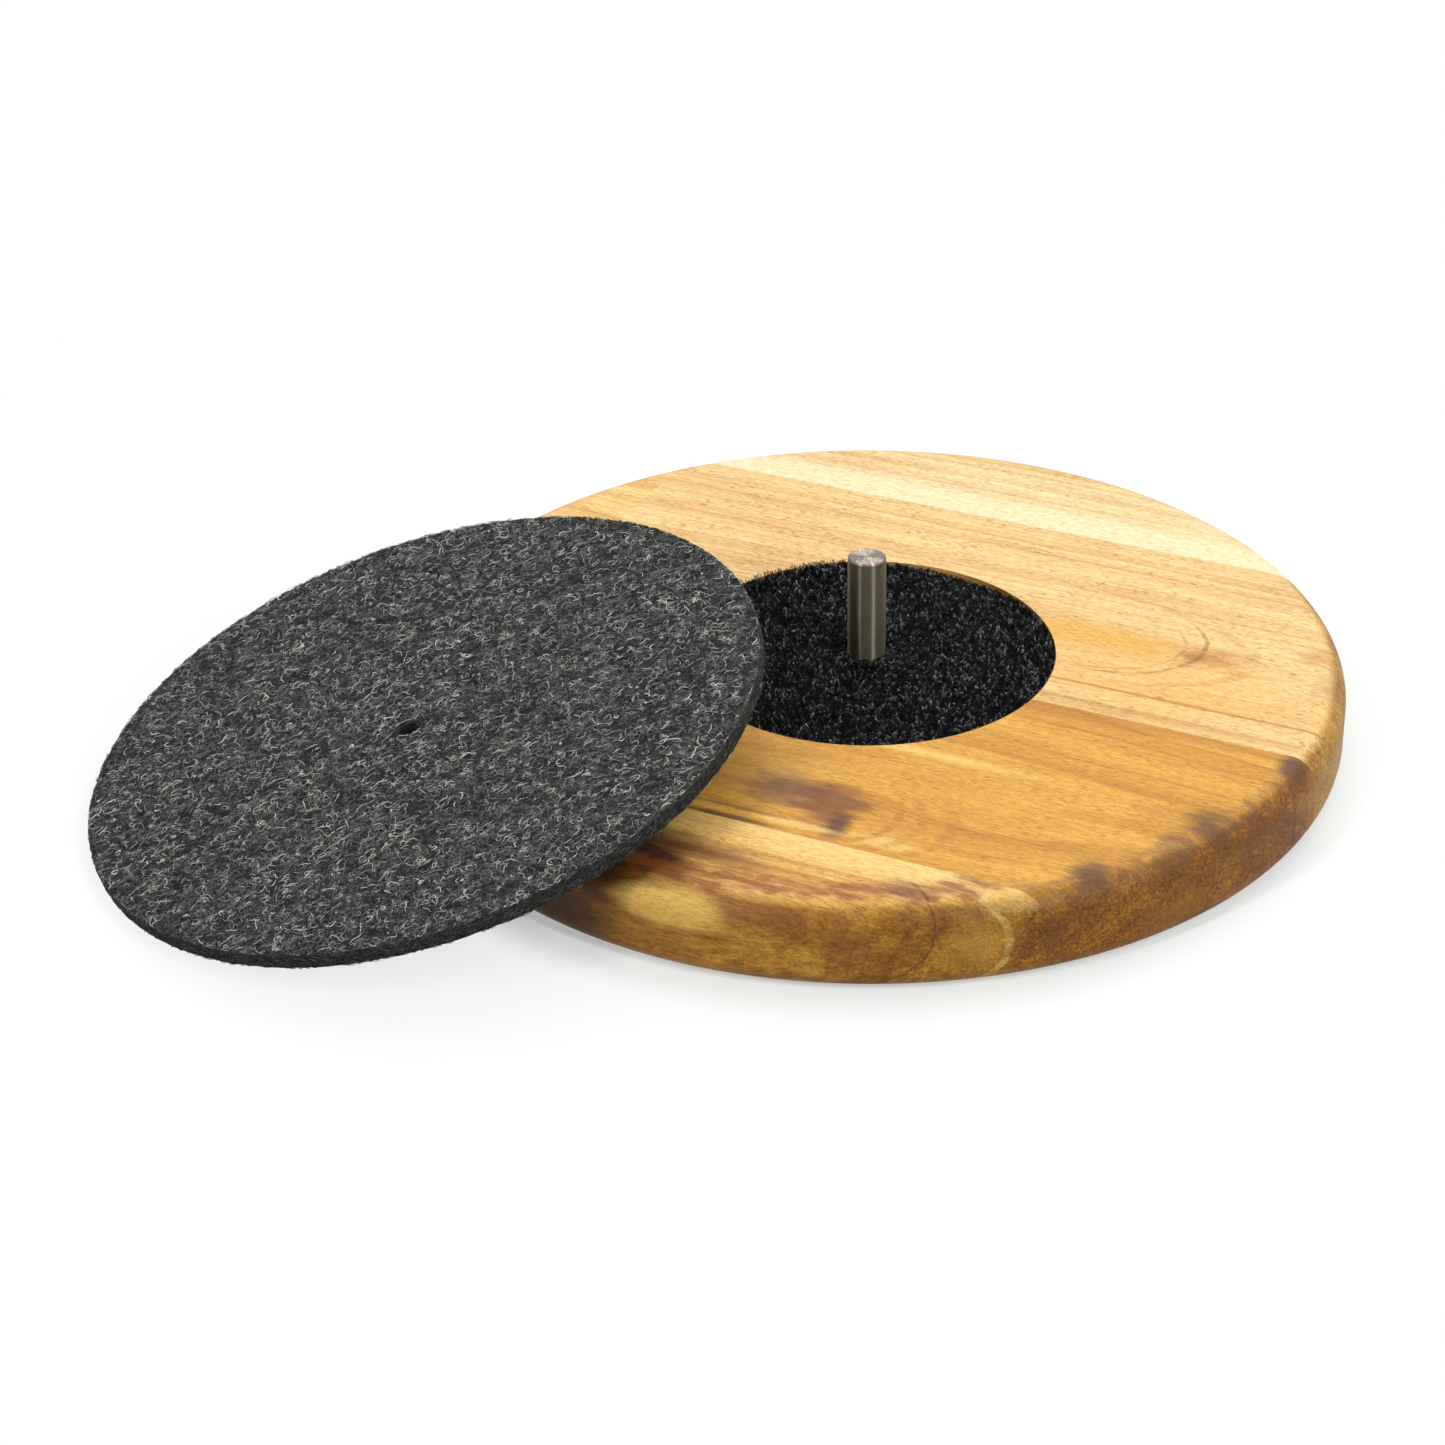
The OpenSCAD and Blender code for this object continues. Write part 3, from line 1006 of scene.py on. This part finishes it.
class WHEEL_OT_lay_felt(bpy.types.Operator):
    """Makes the felt disc and the nap of loose fibres on its faces and its cut edge"""

    bl_idname = "wheel.lay_felt"
    bl_label = "Lay Felt"

    def execute(self, context):
        felt = context.scene.wheel_felt
        draw = np.random.default_rng(felt.seed)
        place, hole, hole_radius = felt_placement(felt)
        radius = felt.diameter / 2
        sheet = ring_sheet("felt_sheet", radius, hole_radius, hole, felt.thickness, cuts=64, sides=480)
        lumps = bpy.data.textures.new("felt_lumps", "CLOUDS")
        lumps.noise_scale = LUMP_WIDTH
        lumps.noise_depth = 3
        uneven = sheet.modifiers.new("Lumps", "DISPLACE")
        uneven.texture = lumps
        uneven.texture_coords = "LOCAL"
        uneven.strength = LUMP_HEIGHT
        uneven.mid_level = 0.55
        apply_modifiers(sheet)
        sheet.matrix_world = place
        set_in_place(sheet)
        sheet.data.shade_smooth()
        sheet.data.materials.append(felt_material(felt, mount("felt_hole")["pos_m"]))
        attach(sheet, "felt")
        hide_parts("felt_disc")

        material = fibre_material(felt)
        naps = []
        for part in range(felt.parts):
            name = f"felt_nap_top_{part + 1}"
            naps.append(self.nap(felt, draw, name, place, hole, hole_radius, 0.0, 1))
        naps.append(self.nap(felt, draw, "felt_nap_under", place, hole, hole_radius, -felt.thickness, -1))
        naps.append(self.edge_nap(felt, draw, "felt_nap_edge", place))
        naps.append(self.hole_nap(felt, draw, "felt_nap_hole", place, hole, hole_radius))
        for nap in naps:
            nap.data.materials.append(material)
            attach(nap, "felt")
        return {"FINISHED"}

    def finish(self, felt, draw, name, place, paths, shades):
        """Takes fibres from the disc's own frame to the row frame and keeps them above the floor."""
        turned = np.array(place.to_3x3())
        paths = paths @ turned.T + np.array(place.translation)
        paths[..., 2] = np.maximum(paths[..., 2], felt.fibre)
        return strand_mesh(name, paths, tapered(paths, felt.fibre / 2, 0.8, draw), shades)

    def nap(self, felt, draw, name, place, hole, hole_radius, level, side):
        """Curly fibres that lie on a face, dip into it at both ends and stay off the hole."""
        count = felt.fibres
        radius = felt.diameter / 2
        reach = radius * np.sqrt(draw.random(count))
        around = draw.uniform(0, 2 * math.pi, count)
        start = polar(reach, around)
        span = draw.uniform(1.2, 4.6, count) * MM
        flat = curled(draw, start, draw.uniform(0, 2 * math.pi, count), span, 0.6)
        out = np.linalg.norm(flat, axis=2, keepdims=True)
        flat *= np.minimum(out, radius - NAP_INSET) / out
        from_hole = flat - np.array(hole)
        gap = np.linalg.norm(from_hole, axis=2, keepdims=True)
        flat = np.array(hole) + from_hole * np.maximum(gap, hole_radius * HOLE_CLEARANCE) / gap
        arch = arches(draw, 0.3, count)
        height = level + side * (arch + draw.normal(0.02, 0.03, arch.shape) * MM)
        paths = np.concatenate([flat, height[..., None]], axis=2)
        clump = self.clumps(draw, start)
        shades = np.clip(draw.random(count) ** NAP_CONTRAST * (0.3 + clump), 0, 1)
        return self.finish(felt, draw, name, place, paths, shades)

    def hole_nap(self, felt, draw, name, place, hole, hole_radius):
        """A few strands that straggle over the edge of the hole."""
        count = felt.hole_strands
        around = draw.uniform(0, 2 * math.pi, count)
        reach = hole_radius * draw.uniform(1.0, 1.2, count)
        start = np.array(hole) + polar(reach, around)
        heading = around + math.pi / 2 + draw.uniform(0, math.pi, count)
        flat = curled(draw, start, heading, draw.uniform(0.8, 2.6, count) * MM, 0.5)
        height = draw.uniform(-0.9, 0.1, (count, 1)) * MM * np.linspace(0, 1, STRAND_POINTS)[None]
        paths = np.concatenate([flat, height[..., None]], axis=2)
        return self.finish(felt, draw, name, place, paths, 0.3 * draw.random(count))

    def clumps(self, draw, start):
        """Loose clumps of pale wool a few millimetres wide, as a sum of waves in many directions."""
        total = np.zeros(len(start))
        for turn in draw.uniform(0, math.pi, 14):
            wave = 2 * math.pi / (draw.uniform(3.5, 11) * MM)
            run = start[:, 0] * math.cos(turn) + start[:, 1] * math.sin(turn)
            total += np.sin(run * wave + draw.uniform(0, 2 * math.pi))
        return np.clip(0.5 + total / 7, 0, 1)

    def edge_nap(self, felt, draw, name, place):
        """Short fibres that stand out of the cut edge, darker than the nap of the faces: partly dark wool and
        partly painted shade.
        """
        count, points = felt.fibres // 2, STRAND_POINTS - 1
        radius = felt.diameter / 2
        around = draw.uniform(0, 2 * math.pi, count)
        level = -felt.thickness * draw.random(count)
        way = np.linspace(-0.5, 0.5, points)[None]
        along = way * (draw.uniform(0.6, 2.6, count) * MM / radius)[:, None]
        slope = way * draw.normal(0, 0.9, count)[:, None] * MM
        angle = around[:, None] + along
        reach = radius - 0.08 * MM + arches(draw, 0.25, count, points)
        height = np.clip(level[:, None] + slope, -felt.thickness, 0)
        paths = np.stack([reach * np.cos(angle), reach * np.sin(angle), height], axis=2)
        # Partly painted shade: the edge fibres are kept darker than the nap on the faces, as the cut edge
        # lies in shade.
        return self.finish(felt, draw, name, place, paths, 0.14 * draw.random(count) ** 2)


# ---- Stage ----


def seen_directly(graph):
    """1 where the camera sees the surface, straight, in a reflection or through glass."""
    path = graph.node("LightPath").outputs
    seen = graph.maths("ADD", path["Is Camera Ray"], path["Is Glossy Ray"])
    return graph.maths("ADD", seen, path["Is Transmission Ray"], clamp=True)


# Name, place, width and height in metres, power in watts and tint of each lamp
LAMPS = (
    ("lamp_top", (0.3, 0.6, 1.0), (1.2, 0.9), 9.2, (1, 1, 1)),
    ("lamp_left", (-0.78, -0.72, 0.85), (0.08, 0.8), 5.5, (1, 1, 1)),
    ("lamp_right", (0.66, -0.78, 0.85), (0.08, 0.8), 9.5, (0.88, 1.0, 0.96)),
)
FLOOR_SIZE = 12
SENSOR_SIZE = 36


def add_lamp(name, place, size, power, tint):
    """A rectangular soft lamp that points at the wheel."""
    data = bpy.data.lights.new(name, "AREA")
    data.shape = "RECTANGLE"
    data.size, data.size_y = size
    data.energy = power
    data.color = tint
    lamp = bpy.data.objects.new(name, data)
    lamp.location = place
    lamp.rotation_euler = (-Vector(place)).to_track_quat("-Z", "Y").to_euler()
    bpy.context.scene.collection.objects.link(lamp)


class WHEEL_OT_set_stage(bpy.types.Operator):
    """Adds the floor, the world, the lamps and the camera"""

    bl_idname = "wheel.set_stage"
    bl_label = "Set Stage"

    def execute(self, context):
        settings = context.scene.wheel_stage
        self.add_floor()
        self.set_world(context.scene)
        for lamp in LAMPS:
            add_lamp(*lamp)
        self.add_camera(context.scene, settings)
        context.scene.view_settings.view_transform = "Standard"
        return {"FINISHED"}

    def add_floor(self):
        deselect_all()
        bpy.ops.mesh.primitive_plane_add(size=FLOOR_SIZE, location=(0, 0, 0))
        floor = bpy.context.object
        floor.name = "floor"
        material, graph, shader = new_material("white_cloth")
        seen = seen_directly(graph)
        graph.feed(shader.inputs["Base Color"], graph.mix(seen, (0.4, 0.39, 0.38), (0.9, 0.9, 0.9)))
        shader.inputs["Roughness"].default_value = 0.95
        white = graph.node("Emission", {"Color": (1, 1, 1), "Strength": 1.0}).outputs[0]
        away = graph.vectors("LENGTH", graph.node("TexCoord").outputs["Object"])
        # The floor gives off less white under the wheel, so that the shadow there shows.
        under, beside, clear = 0.1, 0.112, 0.28
        near = graph.ramp(away, under, beside, 0.4, 0.78)
        glow = graph.maths("ADD", near, graph.ramp(away, beside, clear, 0.0, 0.22))
        glow = graph.maths("MULTIPLY", seen, glow)
        mixed = graph.node("MixShader", {0: glow, 1: shader.outputs[0], 2: white})
        graph.feed(material.node_tree.nodes["Material Output"].inputs["Surface"], mixed.outputs[0])
        floor.data.materials.append(material)

    def set_world(self, scene):
        world = bpy.data.worlds.new("white_room")
        world.use_nodes = True
        graph = Graph(world.node_tree)
        background = world.node_tree.nodes["Background"]
        strength = graph.maths("MULTIPLY_ADD", seen_directly(graph), 0.7, 0.3)
        graph.feed(background.inputs["Color"], (1, 1, 1))
        graph.feed(background.inputs["Strength"], strength)
        scene.world = world

    def add_camera(self, scene, settings):
        data = bpy.data.cameras.new("camera")
        data.lens = settings.focal_length
        data.sensor_width = data.sensor_height = SENSOR_SIZE
        data.sensor_fit = "HORIZONTAL"
        camera = bpy.data.objects.new("camera", data)
        back = Vector((0, -math.cos(settings.elevation), math.sin(settings.elevation)))
        turn = (-back).to_track_quat("-Z", "Y").to_matrix().to_4x4() @ Matrix.Rotation(settings.roll, 4, "Z")
        turn.translation = Vector(settings.aim) + back * settings.distance
        camera.matrix_world = turn
        scene.collection.objects.link(camera)
        scene.camera = camera


# ---- Panel and registration ----

STEPS = (
    WHEEL_OT_set_stage,
    WHEEL_OT_finish_staves,
    WHEEL_OT_finish_spindle,
    WHEEL_OT_lay_loop_pad,
    WHEEL_OT_lay_felt,
)


class WHEEL_PT_steps(bpy.types.Panel):
    """The steps that finish the wheel, in their order"""

    bl_label = "Polishing Wheel"
    bl_idname = "WHEEL_PT_steps"
    bl_space_type = "VIEW_3D"
    bl_region_type = "UI"
    bl_category = "Polishing Wheel"

    def draw(self, context):
        for name in SETTINGS:
            box = self.layout.box()
            settings = getattr(context.scene, name)
            for key in settings.bl_rna.properties.keys():
                if key not in ("rna_type", "name"):
                    box.prop(settings, key)
        for step in STEPS:
            self.layout.operator(step.bl_idname)


def register():
    for settings in SETTINGS.values():
        bpy.utils.register_class(settings)
    for name, settings in SETTINGS.items():
        setattr(bpy.types.Scene, name, bpy.props.PointerProperty(type=settings))
    for item in (*STEPS, WHEEL_PT_steps):
        bpy.utils.register_class(item)


def unregister():
    for item in reversed((*STEPS, WHEEL_PT_steps)):
        bpy.utils.unregister_class(item)
    for name, settings in SETTINGS.items():
        delattr(bpy.types.Scene, name)
        bpy.utils.unregister_class(settings)


def main():
    register()
    build_groups()
    for step in STEPS:
        family, action = step.bl_idname.split(".")
        getattr(getattr(bpy.ops, family), action)()


if __name__ == "__main__":
    main()
